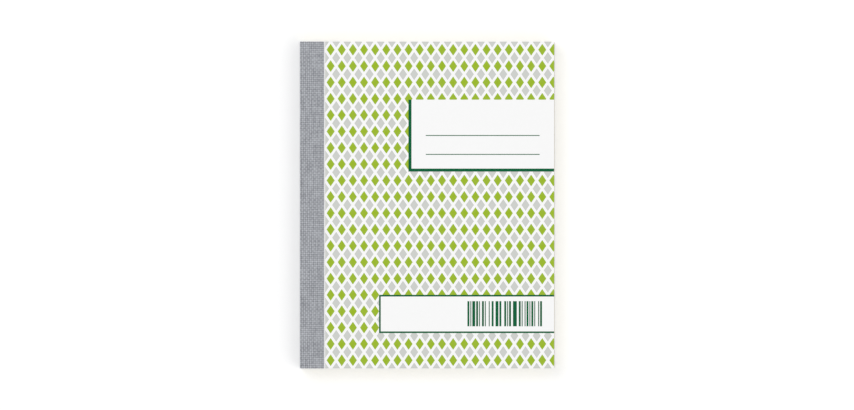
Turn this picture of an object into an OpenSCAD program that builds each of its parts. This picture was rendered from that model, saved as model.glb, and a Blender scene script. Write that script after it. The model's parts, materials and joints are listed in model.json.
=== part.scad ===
// Carbonless order book: sets of two sheets, side-stapled between card covers under a cloth tape.
// It lies on its back: spine on -X, head on +Y, front cover up. Units are millimetres.

/* [Book] */
// Width of the sheets and the covers, spine face to fore-edge
book_w = 105; // [80:1:160]
// Height of the sheets and the covers, head to tail
book_h = 135; // [100:1:220]
// Order sets in the book, each a top sheet and its copy
set_count = 50; // [12:2:80]

/* [Paper and card] */
// Thickness of one carbonless sheet
paper_t = 0.07; // [0.05:0.01:0.12]
// Air between neighbouring sheets of the pressed block
paper_gap = 0.01; // [0.005:0.005:0.03]
// Thickness of the card of both covers and the shield
card_t = 0.5; // [0.5:0.05:0.8]

/* [Tape] */
// Thickness of the spine tape
tape_t = 0.2; // [0.12:0.02:0.4]
// Reach of the tape over each cover, from the spine face
tape_leg = 10; // [8:0.5:16]
// Radius of the card's pressed spine edges, which the tape follows
spine_r = 0.35; // [0.1:0.05:0.45]
// Distance from the tape's edge to the crease where the leaves turn
crease_gap = 0.4; // [0.2:0.1:1.5]
// Clearance between a turning leaf and its bound edge
crease_clear = 0.02; // [0.02:0.01:0.1]
// Depth and half-width of a score in the card
score = 0.12; // [0.05:0.01:0.2]

/* [Staples] */
// Wire diameter
wire_d = 0.4; // [0.3:0.05:0.4]
// Crown length between the leg centres
crown = 12; // [10:0.5:16]
// Centre-line radius of the wire's bends
bend_r = 0.3; // [0.25:0.05:0.4]
// Straight length of each leg's end, bent over at the back
clinch = 4; // [2:0.25:4.5]
// Distance of the staple row from the spine face
staple_x = 5; // [3:0.25:6]
// Distance between the two staples' centres
staple_gap = 68; // [40:1:78]
// Clearance round the wire in every hole and slot
wire_clear = 0.02; // [0.01:0.01:0.04]

/* [Perforation] */
// Distance from the crease to the tear line
perf_x = 2.5; // [1.5:0.25:5]
// Length of one slit
slit_l = 1.6; // [0.8:0.1:2]
// Width of one slit
slit_w = 0.12; // [0.08:0.02:0.3]
// Distance from slit to slit
slit_pitch = 2.5; // [2.3:0.1:4]

/* [Writing shield] */
// Clearance between the raised edge strip and the fore-edge
fore_clear = 0.05; // [0.02:0.01:0.3]
// Clearance over the front cover when the shield is wrapped round
wrap_clear = 0.2; // [0.1:0.05:1]
// Gap between the shield's free edge and the tape on the back
shield_gap = 1; // [0.5:0.25:5]
// Radius of the shield's free corners
shield_r = 8; // [2:0.5:15]

/* [Hidden] */
$fn = 48;
// Sets that turn sheet by sheet, and the last set of the middle block
single_sets = 4;
middle_last = single_sets + floor((set_count - single_sets) / 2);
// Levels from the table up: shield, back cover, block, front cover, tape
sheet_pitch = paper_t + paper_gap;
z_back = card_t;
z_block = z_back + card_t + paper_gap;
z_front = z_block + 2 * set_count * sheet_pitch;
z_top = z_front + card_t;
z_tape = z_top + tape_t;
// Distances from the spine face
crease_x = tape_leg + crease_gap;
leaf_x = crease_x + crease_clear;
fold_x = book_w + fore_clear + card_t;
wrap_x = fold_x - (z_top - z_back + wrap_clear);
shield_x = tape_leg + shield_gap;
// Staples: both in slots of their cover, flush under the tape
wire_hole = wire_d + 2 * wire_clear;
z_crown = z_top - wire_hole / 2;
z_clinch = z_back + wire_hole / 2;
leg_y = crown / 2;
clinch_y = leg_y - bend_r - clinch;
// Whole slits only, with the same margin at head and tail
slit_count = floor((book_h - slit_l) / slit_pitch);
// How far a cut runs past the face that it opens
over = 1;

card_c = [0.93, 0.93, 0.90];
print_c = [0.74, 0.83, 0.50];
white_c = [0.97, 0.97, 0.97];
copy_c = [0.98, 0.92, 0.60];
tape_c = [0.62, 0.63, 0.65];
wire_c = [0.75, 0.75, 0.78];

// Height of the underside of a set's top sheet (part 0) or copy (part 1), set 1 uppermost
function sheet_z(set, part) = z_front - (2 * set - 1 + part) * sheet_pitch;

// Puts what is drawn from the spine face at its place in the frame, in its colour
module piece(c) {
    color(c)
        translate([-fold_x / 2, 0, 0])
            children();
}

// Runs an X-Z profile over the whole height of the book
module over_height() {
    rotate([90, 0, 0])
        linear_extrude(height = book_h, center = true)
            children();
}

// What rounding by r takes off a left-hand corner at [x, y]; up is 1 for a lower corner, -1 for an upper
module corner_waste(x, y, r, up) {
    difference() {
        translate([x, up > 0 ? y : y - r])
            square(r);
        translate([x + r, y + up * r])
            circle(r);
    }
}

// Rectangle from [x0, y0] to [x1, y1], its left-hand corners rounded by r0 below and r1 above
module left_rounded(x0, y0, x1, y1, r0, r1) {
    difference() {
        translate([x0, y0])
            square([x1 - x0, y1 - y0]);
        if (r0 > 0)
            corner_waste(x0, y0, r0, 1);
        if (r1 > 0)
            corner_waste(x0, y1, r1, -1);
    }
}

// A score along the card's height, to be cut from both pieces that meet at it
module score_cut(x, z) {
    over_height()
        translate([x, z])
            rotate(45)
                square(score * sqrt(2), center = true);
}

// Places something at each of the two staples
module at_staples() {
    for (side = [-1, 1])
        translate([staple_x, side * staple_gap / 2])
            children();
}

// Plan of the four holes that the staples' legs go through
module leg_holes() {
    at_staples()
        for (side = [-1, 1])
            translate([0, side * leg_y])
                circle(d = wire_hole);
}

// The leg holes through a card whose underside is at z
module leg_bores(z) {
    translate([0, 0, z - over])
        linear_extrude(height = card_t + 2 * over)
            leg_holes();
}

// Slot along Y for a wire, centred on x = 0
module wire_slot(y0, y1, z0, z1) {
    translate([-wire_hole / 2, y0, z0])
        cube([wire_hole, y1 - y0, z1 - z0]);
}

module wire_y(y0, y1, z) {
    translate([0, y0, z])
        rotate([-90, 0, 0])
            cylinder(d = wire_d, h = y1 - y0);
}

// Quarter bend round the X axis, from the leg's side at +Y to the crown's level at +Z
module wire_bend() {
    rotate([90, 0, 90])
        rotate_extrude(angle = 90)
            translate([bend_r, 0])
                circle(d = wire_d);
}

// One side of a staple: leg, both bends, and the end clinched towards the middle
module staple_side() {
    bend_y = leg_y - bend_r;
    translate([0, bend_y, z_crown - bend_r])
        wire_bend();
    translate([0, leg_y, z_clinch + bend_r])
        cylinder(d = wire_d, h = z_crown - z_clinch - 2 * bend_r);
    translate([0, bend_y, z_clinch + bend_r])
        mirror([0, 0, 1])
            wire_bend();
    wire_y(clinch_y, bend_y, z_clinch);
}

module staple(side) {
    piece(wire_c)
        translate([staple_x, side * staple_gap / 2, 0]) {
            wire_y(bend_r - leg_y, leg_y - bend_r, z_crown);
            staple_side();
            mirror([0, 1, 0])
                staple_side();
        }
}

// One sheet from the crease to the fore-edge; a top sheet of a single set has its tear line cut
module leaf(set, part, perforated = false) {
    translate([0, 0, sheet_z(set, part)])
        linear_extrude(height = paper_t)
            difference() {
                translate([leaf_x, -book_h / 2])
                    square([book_w - leaf_x, book_h]);
                if (perforated)
                    tear_line();
            }
}

module tear_line() {
    for (i = [0 : slit_count - 1])
        translate([crease_x + perf_x, (i - (slit_count - 1) / 2) * slit_pitch])
            square([slit_w, slit_l], center = true);
}

module top_sheet(set) {
    piece(white_c)
        leaf(set, 0, true);
}

module copy_sheet(set) {
    piece(copy_c)
        leaf(set, 1);
}

// A block's sheets of one kind, each a sheet of its own
module leaves(first, last, part) {
    for (set = [first : last])
        leaf(set, part);
}

// The stapled edges of every sheet of one kind
module bound_edges(part) {
    for (set = [1 : set_count])
        translate([0, 0, sheet_z(set, part)])
            linear_extrude(height = paper_t)
                difference() {
                    translate([tape_t, -book_h / 2])
                        square([crease_x - tape_t, book_h]);
                    leg_holes();
                }
}

module spine_tape() {
    piece(tape_c)
        over_height()
            difference() {
                left_rounded(0, z_back - tape_t, tape_leg, z_tape, spine_r + tape_t, spine_r + tape_t);
                left_rounded(tape_t, z_back, tape_leg + over, z_top, spine_r, spine_r);
            }
}

module upper_staple() {
    staple(1);
}

module lower_staple() {
    staple(-1);
}

module front_cover_bound_edge() {
    piece(print_c)
        difference() {
            over_height()
                left_rounded(tape_t, z_front, crease_x, z_top, 0, spine_r);
            at_staples()
                wire_slot(-leg_y, leg_y, z_top - wire_hole, z_top + over);
            leg_bores(z_front);
            score_cut(crease_x, z_top);
        }
}

module back_cover() {
    piece(card_c)
        difference() {
            over_height()
                left_rounded(tape_t, z_back, book_w, z_back + card_t, spine_r, 0);
            at_staples()
                for (side = [0, 1])
                    mirror([0, side, 0])
                        wire_slot(clinch_y - wire_clear, leg_y, z_back - over, z_back + wire_hole);
            leg_bores(z_back);
        }
}

module top_sheet_bound_edges() {
    piece(white_c)
        bound_edges(0);
}

module copy_sheet_bound_edges() {
    piece(copy_c)
        bound_edges(1);
}

module rear_top_sheets() {
    piece(white_c)
        leaves(middle_last + 1, set_count, 0);
}

module rear_copy_sheets() {
    piece(copy_c)
        leaves(middle_last + 1, set_count, 1);
}

module middle_top_sheets() {
    piece(white_c)
        leaves(single_sets + 1, middle_last, 0);
}

module middle_copy_sheets() {
    piece(copy_c)
        leaves(single_sets + 1, middle_last, 1);
}

module front_cover() {
    piece(print_c)
        difference() {
            over_height()
                translate([leaf_x, z_front])
                    square([book_w - leaf_x, card_t]);
            score_cut(crease_x, z_top);
        }
}

module shield_edge_strip() {
    piece(card_c)
        difference() {
            over_height()
                translate([wrap_x, 0])
                    square([fold_x - wrap_x, card_t]);
            score_cut(wrap_x, 0);
        }
}

module shield_flap() {
    piece(card_c)
        difference() {
            linear_extrude(height = card_t)
                left_rounded(shield_x, -book_h / 2, wrap_x, book_h / 2, shield_r, shield_r);
            score_cut(wrap_x, 0);
        }
}

spine_tape();
upper_staple();
lower_staple();
front_cover_bound_edge();
back_cover();
top_sheet_bound_edges();
copy_sheet_bound_edges();
rear_top_sheets();
rear_copy_sheets();
middle_top_sheets();
middle_copy_sheets();
copy_sheet(4);  // set_4_copy_sheet
top_sheet(4);  // set_4_top_sheet
copy_sheet(3);  // set_3_copy_sheet
top_sheet(3);  // set_3_top_sheet
copy_sheet(2);  // set_2_copy_sheet
top_sheet(2);  // set_2_top_sheet
copy_sheet(1);  // set_1_copy_sheet
top_sheet(1);  // set_1_top_sheet
front_cover();
shield_edge_strip();
shield_flap();
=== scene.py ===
"""Dresses the carbonless order book: printed cover, cloth tape, ruled sheets, card and studio."""

import json
import logging
import math
from dataclasses import dataclass
from enum import Enum
from typing import Iterable, Sequence, Union

import bmesh
import bpy
from mathutils import Color, Matrix, Vector, noise


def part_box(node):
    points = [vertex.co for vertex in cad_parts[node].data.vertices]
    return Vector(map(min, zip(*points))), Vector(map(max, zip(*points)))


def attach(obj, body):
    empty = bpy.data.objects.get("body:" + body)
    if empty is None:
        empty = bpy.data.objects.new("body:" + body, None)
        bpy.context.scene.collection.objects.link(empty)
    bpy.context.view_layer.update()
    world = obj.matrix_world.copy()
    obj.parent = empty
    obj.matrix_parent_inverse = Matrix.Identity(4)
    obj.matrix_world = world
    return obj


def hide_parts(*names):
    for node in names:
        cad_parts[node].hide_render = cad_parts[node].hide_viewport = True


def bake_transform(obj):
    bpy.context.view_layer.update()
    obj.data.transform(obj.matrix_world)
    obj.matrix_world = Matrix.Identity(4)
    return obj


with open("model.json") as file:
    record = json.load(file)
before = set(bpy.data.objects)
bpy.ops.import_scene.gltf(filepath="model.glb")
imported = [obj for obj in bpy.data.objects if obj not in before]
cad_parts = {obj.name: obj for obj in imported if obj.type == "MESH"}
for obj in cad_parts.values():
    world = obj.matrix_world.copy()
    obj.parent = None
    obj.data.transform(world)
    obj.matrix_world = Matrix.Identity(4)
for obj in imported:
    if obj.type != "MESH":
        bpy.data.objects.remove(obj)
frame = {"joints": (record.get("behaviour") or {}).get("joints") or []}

LOG = logging.getLogger("order_book")
MM = 0.001
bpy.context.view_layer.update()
# Width of the picture in pixels
IMAGE_W = 854
# Level of a full channel in a screen colour
SCREEN_WHITE = 255
# Least upward share of a normal on a face that counts as level
LEVEL = 0.5
# Mean of Blender's noise
NOISE_MEAN = 0.5
# Sets whose sheets turn one by one, and the first set of each block under them
SINGLE_SETS = 4
BLOCKS = (("rear", 28), ("middle", 5))

Socket = bpy.types.NodeSocket
Value = Union[float, Socket]
Colour = tuple[float, float, float, float]
Paint = Union[Colour, Socket]

WHITE: Colour = (1.0, 1.0, 1.0, 1.0)


def srgb(red: int, green: int, blue: int) -> Colour:
    """Turns a screen colour into the linear colour that a shader takes.

    Args:
        red: Red, 0 to 255.
        green: Green, 0 to 255.
        blue: Blue, 0 to 255.

    Returns:
        Linear red, green, blue and an alpha of one.
    """
    screen = Color([level / SCREEN_WHITE for level in (red, green, blue)])
    return (*screen.from_srgb_to_scene_linear(), 1.0)


class SheetKind(Enum):
    """The two sheets of a set, by the record's material slot."""

    TOP = "white_sheet"
    COPY = "copy_sheet"


@dataclass(frozen=True)
class BookSizes:
    """Places of the book's pieces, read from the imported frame, in metres.

    Attributes:
        spine_x: Outer face of the spine.
        fore_x: Fore-edge of the sheets and covers.
        fold_x: Outer edge of the shield's fold.
        head_y: Head of the book.
        tail_y: Tail of the book.
        crease_x: Line where the leaves turn.
        wrap_x: The shield's second crease.
        tape_t: Thickness of the tape.
        card_t: Thickness of the card.
        paper_t: Thickness of a sheet.
        sheet_pitch: Distance from one sheet to the next.
    """

    spine_x: float
    fore_x: float
    fold_x: float
    head_y: float
    tail_y: float
    crease_x: float
    wrap_x: float
    tape_t: float
    card_t: float
    paper_t: float
    sheet_pitch: float

    @classmethod
    def from_frame(cls) -> "BookSizes":
        """Reads the sizes from the boxes of the CAD nodes and the joints.

        Returns:
            The sizes.
        """
        tape_lo, tape_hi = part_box("spine_tape")
        cover_lo, cover_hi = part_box("front_cover")
        strip_lo, strip_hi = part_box("shield_edge_strip")
        top_lo, top_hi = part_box("set_1_top_sheet")
        copy_lo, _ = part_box("set_1_copy_sheet")
        turn = next(joint for joint in frame["joints"] if joint["name"] == "cover_turn")
        return cls(
            spine_x=tape_lo[0],
            fore_x=cover_hi[0],
            fold_x=strip_hi[0],
            head_y=cover_hi[1],
            tail_y=cover_lo[1],
            crease_x=turn["pos_m"][0],
            wrap_x=strip_lo[0],
            tape_t=tape_hi[2] - cover_hi[2],
            card_t=cover_hi[2] - cover_lo[2],
            paper_t=top_hi[2] - top_lo[2],
            sheet_pitch=top_lo[2] - copy_lo[2],
        )

    @property
    def height(self) -> float:
        """Height of the book from tail to head."""
        return self.head_y - self.tail_y

    @property
    def middle_y(self) -> float:
        """Middle of the book between tail and head."""
        return (self.head_y + self.tail_y) / 2


class Graph:
    """A tree of shader nodes while it is being wired."""

    # Places of the Mix node's sockets when it mixes colours
    MIX_INPUTS = (0, 6, 7)
    MIX_OUTPUT = 2

    def __init__(self, owner: Union[bpy.types.Material, bpy.types.World]) -> None:
        """Empties the owner's tree.

        Args:
            owner: The material or world that the tree belongs to.
        """
        self.owner = owner
        owner.use_nodes = True
        self.tree = owner.node_tree
        self.tree.nodes.clear()

    @classmethod
    def material(cls, name: str) -> "Graph":
        """Starts the tree of a new material."""
        return cls(bpy.data.materials.new(name))

    def node(self, kind: str, **settings: object) -> bpy.types.Node:
        """Adds a node and sets its properties.

        Args:
            kind: Blender's type name of the node.
            **settings: Properties of the node by name.

        Returns:
            The new node.
        """
        made = self.tree.nodes.new(kind)
        for key, value in settings.items():
            setattr(made, key, value)
        return made

    def put(self, socket: Socket, value: Union[Value, Paint, Sequence[float]]) -> None:
        """Links a socket to another one, or sets it to a constant.

        Args:
            socket: The input to fill.
            value: Another node's output, or the constant.
        """
        if isinstance(value, Socket):
            self.tree.links.new(value, socket)
        else:
            socket.default_value = value

    def fill(self, made: bpy.types.Node, *values: Union[Value, Paint]) -> bpy.types.NodeOutputs:
        """Fills the first inputs of a node.

        Args:
            made: The node.
            *values: What goes into its inputs, in order.

        Returns:
            The node's outputs.
        """
        for socket, value in zip(made.inputs, values):
            self.put(socket, value)
        return made.outputs

    def feed(self, kind: str, **inputs: Union[Value, Paint, Sequence[float]]) -> Socket:
        """Adds a node and fills its inputs by name.

        Args:
            kind: Blender's type name of the node.
            **inputs: What goes into its inputs, with _ for a space in a name.

        Returns:
            Its first output.
        """
        made = self.node(kind)
        for key, value in inputs.items():
            self.put(made.inputs[key.replace("_", " ")], value)
        return made.outputs[0]

    def place(self) -> Socket:
        """Gives the object's own coordinates in metres."""
        return self.node("ShaderNodeTexCoord").outputs["Object"]

    def split(self, vector: Socket) -> bpy.types.NodeOutputs:
        """Takes a vector apart.

        Args:
            vector: The vector.

        Returns:
            Its parts, by the names X, Y and Z.
        """
        return self.fill(self.node("ShaderNodeSeparateXYZ"), vector)

    def math(self, operation: str, *values: Value) -> Socket:
        """Adds one Math node.

        Args:
            operation: Blender's name of the operation.
            *values: Its inputs, in order.

        Returns:
            The result.
        """
        return self.fill(self.node("ShaderNodeMath", operation=operation), *values)[0]

    def level(self, value: Socket, gain: float, base: float) -> Socket:
        """Multiplies a value by a gain and adds a base."""
        return self.math("MULTIPLY_ADD", value, gain, base)

    def clamp(self, value: Socket, most: float = 1.0) -> Socket:
        """Keeps a value between zero and a limit."""
        return self.math("MINIMUM", self.math("MAXIMUM", value, 0.0), most)

    def any_of(self, masks: Iterable[Socket]) -> Socket:
        """Joins masks.

        Args:
            masks: Values that are zero or one, at least one of them.

        Returns:
            One where any of them is one, and zero elsewhere.
        """
        first, *others = masks
        for mask in others:
            first = self.math("MAXIMUM", first, mask)
        return first

    def mix(self, factor: Value, first: Paint, second: Paint) -> Socket:
        """Mixes two colours.

        Args:
            factor: Zero for the first, one for the second.
            first: A colour.
            second: Another colour.

        Returns:
            The mixed colour.
        """
        made = self.node("ShaderNodeMix", data_type="RGBA")
        for place, value in zip(self.MIX_INPUTS, (factor, first, second)):
            self.put(made.inputs[place], value)
        return made.outputs[self.MIX_OUTPUT]

    def scaled(self, vector: Socket, scale: Sequence[float]) -> Socket:
        """Stretches coordinates.

        Args:
            vector: The coordinates.
            scale: Factor along each axis.

        Returns:
            The stretched coordinates.
        """
        return self.feed("ShaderNodeMapping", Vector=vector, Scale=scale)

    def bump(self, height: Socket, depth: float) -> Socket:
        """Turns a height into a surface normal.

        Args:
            height: The height, 0 to 1.
            depth: What a height of one stands for, in metres.

        Returns:
            The normal.
        """
        return self.feed("ShaderNodeBump", Distance=depth, Height=height)

    def shade_mix(self, factor: Socket, first: Socket, second: Socket) -> Socket:
        """Mixes two shaders.

        Args:
            factor: Zero for the first, one for the second.
            first: A shader.
            second: Another shader.

        Returns:
            The mixed shader.
        """
        return self.fill(self.node("ShaderNodeMixShader"), factor, first, second)[0]

    def close(self, shader: Socket) -> None:
        """Links a shader to the output of the tree."""
        ends = {bpy.types.Material: "ShaderNodeOutputMaterial", bpy.types.World: "ShaderNodeOutputWorld"}
        self.put(self.node(ends[type(self.owner)]).inputs["Surface"], shader)

    def surface(self, **inputs: Union[Value, Paint]) -> bpy.types.Material:
        """Closes a material's tree with a Principled shader.

        Args:
            **inputs: Its inputs by name, with _ for a space.

        Returns:
            The finished material.
        """
        self.close(self.feed("ShaderNodeBsdfPrincipled", **inputs))
        return self.owner


@dataclass(frozen=True)
class Grain:
    """Soft noise of a surface.

    Attributes:
        size: Size of its patches in metres.
        layers: How many finer layers it has.
        gain: What the noise, which is about one half, is multiplied by.
        base: What is added then.
    """

    size: float
    layers: float = 2.0
    gain: float = 1.0
    base: float = 0.0

    def value(self, graph: Graph, place: Socket) -> Socket:
        """Gives the noise at a place.

        Args:
            graph: The material's tree.
            place: Coordinates in metres.

        Returns:
            The value.
        """
        soft = graph.feed("ShaderNodeTexNoise", Vector=place, Scale=1 / self.size, Detail=self.layers)
        return graph.level(soft, self.gain, self.base)


class PrintPlane:
    """Millimetres on a printed face, across from the spine and down from the head."""

    def __init__(self, graph: Graph, sizes: BookSizes) -> None:
        """Reads the place on the face from the object's own coordinates.

        Args:
            graph: The material's tree.
            sizes: Places of the book's pieces.
        """
        self.graph = graph
        self.place = graph.place()
        spot = graph.split(self.place)
        self.across = graph.level(spot["X"], 1 / MM, -sizes.spine_x / MM)
        self.down = graph.level(spot["Y"], -1 / MM, sizes.head_y / MM)
        upward = graph.split(graph.node("ShaderNodeTexCoord").outputs["Normal"])["Z"]
        self.upper_face = graph.math("GREATER_THAN", upward, LEVEL)
        self.cut_edge = graph.math("LESS_THAN", graph.math("ABSOLUTE", upward), LEVEL)

    def span(self, axis: Socket, low: float, high: float) -> Socket:
        """Gives one where a coordinate is between two values, and zero elsewhere."""
        return self.graph.math("COMPARE", axis, (low + high) / 2, (high - low) / 2)

    def rect(self, left: float, right: float, top: float, bottom: float) -> Socket:
        """Marks a filled rectangle, its sides in millimetres on the face."""
        across = self.span(self.across, left, right)
        return self.graph.math("MULTIPLY", across, self.span(self.down, top, bottom))

    def line_across(self, left: float, right: float, down: float, rule: float) -> Socket:
        """Marks a level line of a given thickness."""
        return self.rect(left, right, down - rule / 2, down + rule / 2)

    def outline(self, left: float, right: float, top: float, bottom: float, rule: float) -> Socket:
        """Marks the ruled outline of a rectangle.

        Args:
            left: Outer left side.
            right: Outer right side.
            top: Outer top side.
            bottom: Outer bottom side.
            rule: Thickness of the rule, inside these sides.

        Returns:
            The mask.
        """
        outer = self.rect(left, right, top, bottom)
        inner = self.rect(left + rule, right - rule, top + rule, bottom - rule)
        return self.graph.math("SUBTRACT", outer, inner)


@dataclass(frozen=True)
class Panel:
    """A blank panel of the cover print that runs off its fore-edge, in millimetres.

    Attributes:
        left: Left side, with its rule.
        top: Top side.
        bottom: Bottom side, with its rule.
        side_rule: Thickness of the rules on the left and at the bottom.
        top_rule: Thickness of the rule on top, zero for none.
    """

    left: float
    top: float
    bottom: float
    side_rule: float
    top_rule: float = 0.0

    def face(self, plane: PrintPlane, right: float) -> Socket:
        """Marks the whole panel."""
        return plane.rect(self.left, right, self.top, self.bottom)

    def rules(self, plane: PrintPlane, right: float) -> Socket:
        """Marks the rules round the panel.

        Args:
            plane: The printed face.
            right: Where the level rules end.

        Returns:
            The mask.
        """
        found = [
            plane.rect(self.left, self.left + self.side_rule, self.top, self.bottom),
            plane.rect(self.left, right, self.bottom - self.side_rule, self.bottom),
        ]
        if self.top_rule > 0:
            found.append(plane.rect(self.left, right, self.top, self.top + self.top_rule))
        return plane.graph.any_of(found)


@dataclass(frozen=True)
class CoverPrint:
    """Lozenge print of the front cover on glossy card, sizes of the print in millimetres.

    Attributes:
        cell_w: Width of a cell, with a green lozenge in its middle and grey ones at its corners.
        cell_h: Height of a cell; the first row starts at the head.
        first_left: Left side of the first column, from the spine.
        fill: Half a lozenge as a share of its cell.
        title: Panel for the owner's own words.
        label: Panel at the foot, with a block of bars.
        write_rules: Writing lines in the title panel, down from the head.
        write_span: Left and right end of the writing lines.
        write_rule: Thickness of a writing line.
        bars_span: Left and right end of the block of bars.
        bars_rows: Top and bottom of the block of bars.
        bar: Width of the narrowest bar.
        bar_share: Share of the block that is bars.
        bar_draw: Start of the random draw for the bars.
        bleed: How far the panels run past the fore-edge.
        leaf: Light green ink.
        mist: Grey ink.
        pine: Dark green ink.
        pine_thin: The same ink where it is thinnest.
        veil: Tint of the card that shows through the ink.
        card: White of the coated card.
        reverse: White of the uncoated side.
        reverse_fibre: Colour of the fibres in it.
        mottle: How much of the veil shows.
        thinning: How thin the dark green ink is.
        fibre: Grain of the card.
        relief: Depth of that grain.
        coat: Roughness of the coating.
        coat_gloss: Level of its reflection.
        bare_rough: What the uncoated side adds to the roughness.
    """

    cell_w: float = 4.6
    cell_h: float = 6.75
    first_left: float = 10.4
    fill: float = 0.36
    title: Panel = Panel(left=44.85, top=24.0, bottom=53.7, side_rule=1.25)
    label: Panel = Panel(left=32.7, top=104.6, bottom=120.4, side_rule=0.7, top_rule=0.7)
    write_rules: tuple[float, ...] = (38.8, 46.6)
    write_span: tuple[float, float] = (52.0, 99.0)
    write_rule: float = 0.35
    bars_span: tuple[float, float] = (69.2, 100.0)
    bars_rows: tuple[float, float] = (107.2, 117.6)
    bar: float = 0.4
    bar_share: float = 0.52
    bar_draw: float = 11083.0
    bleed: float = 1.0
    leaf: Colour = srgb(155, 185, 34)
    mist: Colour = srgb(208, 210, 206)
    pine: Colour = srgb(0, 92, 54)
    pine_thin: Colour = srgb(0, 104, 62)
    veil: Colour = srgb(226, 228, 222)
    card: Colour = srgb(253, 253, 253)
    reverse: Colour = srgb(247, 246, 242)
    reverse_fibre: Colour = srgb(230, 228, 221)
    mottle: Grain = Grain(1.3 * MM, gain=0.1, base=-0.03)
    thinning: Grain = Grain(0.7 * MM, gain=0.2)
    fibre: Grain = Grain(0.4 * MM, layers=3.0)
    relief: float = 0.0014 * MM
    coat: Grain = Grain(6.0 * MM, gain=0.14, base=0.26)
    coat_gloss: float = 0.12
    bare_rough: float = 0.45

    def lozenges(self, plane: PrintPlane) -> Socket:
        """Colours the ground of green and grey lozenges.

        Args:
            plane: The printed face.

        Returns:
            The colour.
        """
        graph = plane.graph
        from_middle = []
        for axis, first, cell in (
            (plane.across, self.first_left, self.cell_w),
            (plane.down, 0.0, self.cell_h),
        ):
            # In cells, from the middle of the first one
            cells = graph.level(axis, 1 / cell, -first / cell - 0.5)
            offset = graph.math("SUBTRACT", cells, graph.math("ROUND", cells))
            from_middle.append(graph.math("ABSOLUTE", offset))
        apart = graph.math("ADD", *from_middle)
        printed = graph.math("GREATER_THAN", plane.across, self.first_left)
        green = graph.math("MULTIPLY", printed, graph.math("LESS_THAN", apart, self.fill))
        grey = graph.math("MULTIPLY", printed, graph.math("GREATER_THAN", apart, 1 - self.fill))
        return graph.mix(grey, graph.mix(green, self.card, self.leaf), self.mist)

    def bars(self, plane: PrintPlane) -> Socket:
        """Marks a block of upright bars, drawn at random, that stand for no number.

        Args:
            plane: The printed face.

        Returns:
            The mask.
        """
        graph = plane.graph
        step = graph.math("FLOOR", graph.level(plane.across, 1 / self.bar, self.bar_draw))
        draw = graph.node("ShaderNodeTexWhiteNoise", noise_dimensions="1D")
        graph.put(draw.inputs["W"], step)
        drawn = graph.math("GREATER_THAN", draw.outputs["Value"], 1 - self.bar_share)
        return graph.math("MULTIPLY", drawn, plane.rect(*self.bars_span, *self.bars_rows))

    def print_colour(self, plane: PrintPlane, sizes: BookSizes) -> Socket:
        """Colours the printed face.

        Args:
            plane: The printed face.
            sizes: Places of the book's pieces.

        Returns:
            The colour.
        """
        graph = plane.graph
        right = (sizes.fore_x - sizes.spine_x) / MM + self.bleed
        panels = (self.title, self.label)
        faces = graph.any_of(panel.face(plane, right) for panel in panels)
        colour = graph.mix(faces, self.lozenges(plane), self.card)
        colour = graph.mix(self.mottle.value(graph, plane.place), colour, self.veil)
        dark = [panel.rules(plane, right) for panel in panels]
        dark += [plane.line_across(*self.write_span, down, self.write_rule) for down in self.write_rules]
        dark.append(self.bars(plane))
        pine = graph.mix(self.thinning.value(graph, plane.place), self.pine, self.pine_thin)
        return graph.mix(graph.any_of(dark), colour, pine)

    def material(self, sizes: BookSizes) -> bpy.types.Material:
        """Builds the cover's material: print on the upper face, plain card on the rest.

        Args:
            sizes: Places of the book's pieces.

        Returns:
            The material.
        """
        graph = Graph.material("printed_card")
        plane = PrintPlane(graph, sizes)
        fibre = self.fibre.value(graph, plane.place)
        bare = graph.mix(fibre, self.reverse, self.reverse_fibre)
        coat = self.coat.value(graph, plane.place)
        uncoated = graph.math("SUBTRACT", 1.0, plane.upper_face)
        return graph.surface(
            Base_Color=graph.mix(plane.upper_face, bare, self.print_colour(plane, sizes)),
            Roughness=graph.math("MULTIPLY_ADD", uncoated, self.bare_rough, coat),
            Normal=graph.bump(fibre, self.relief),
            Specular_IOR_Level=self.coat_gloss,
        )


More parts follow.
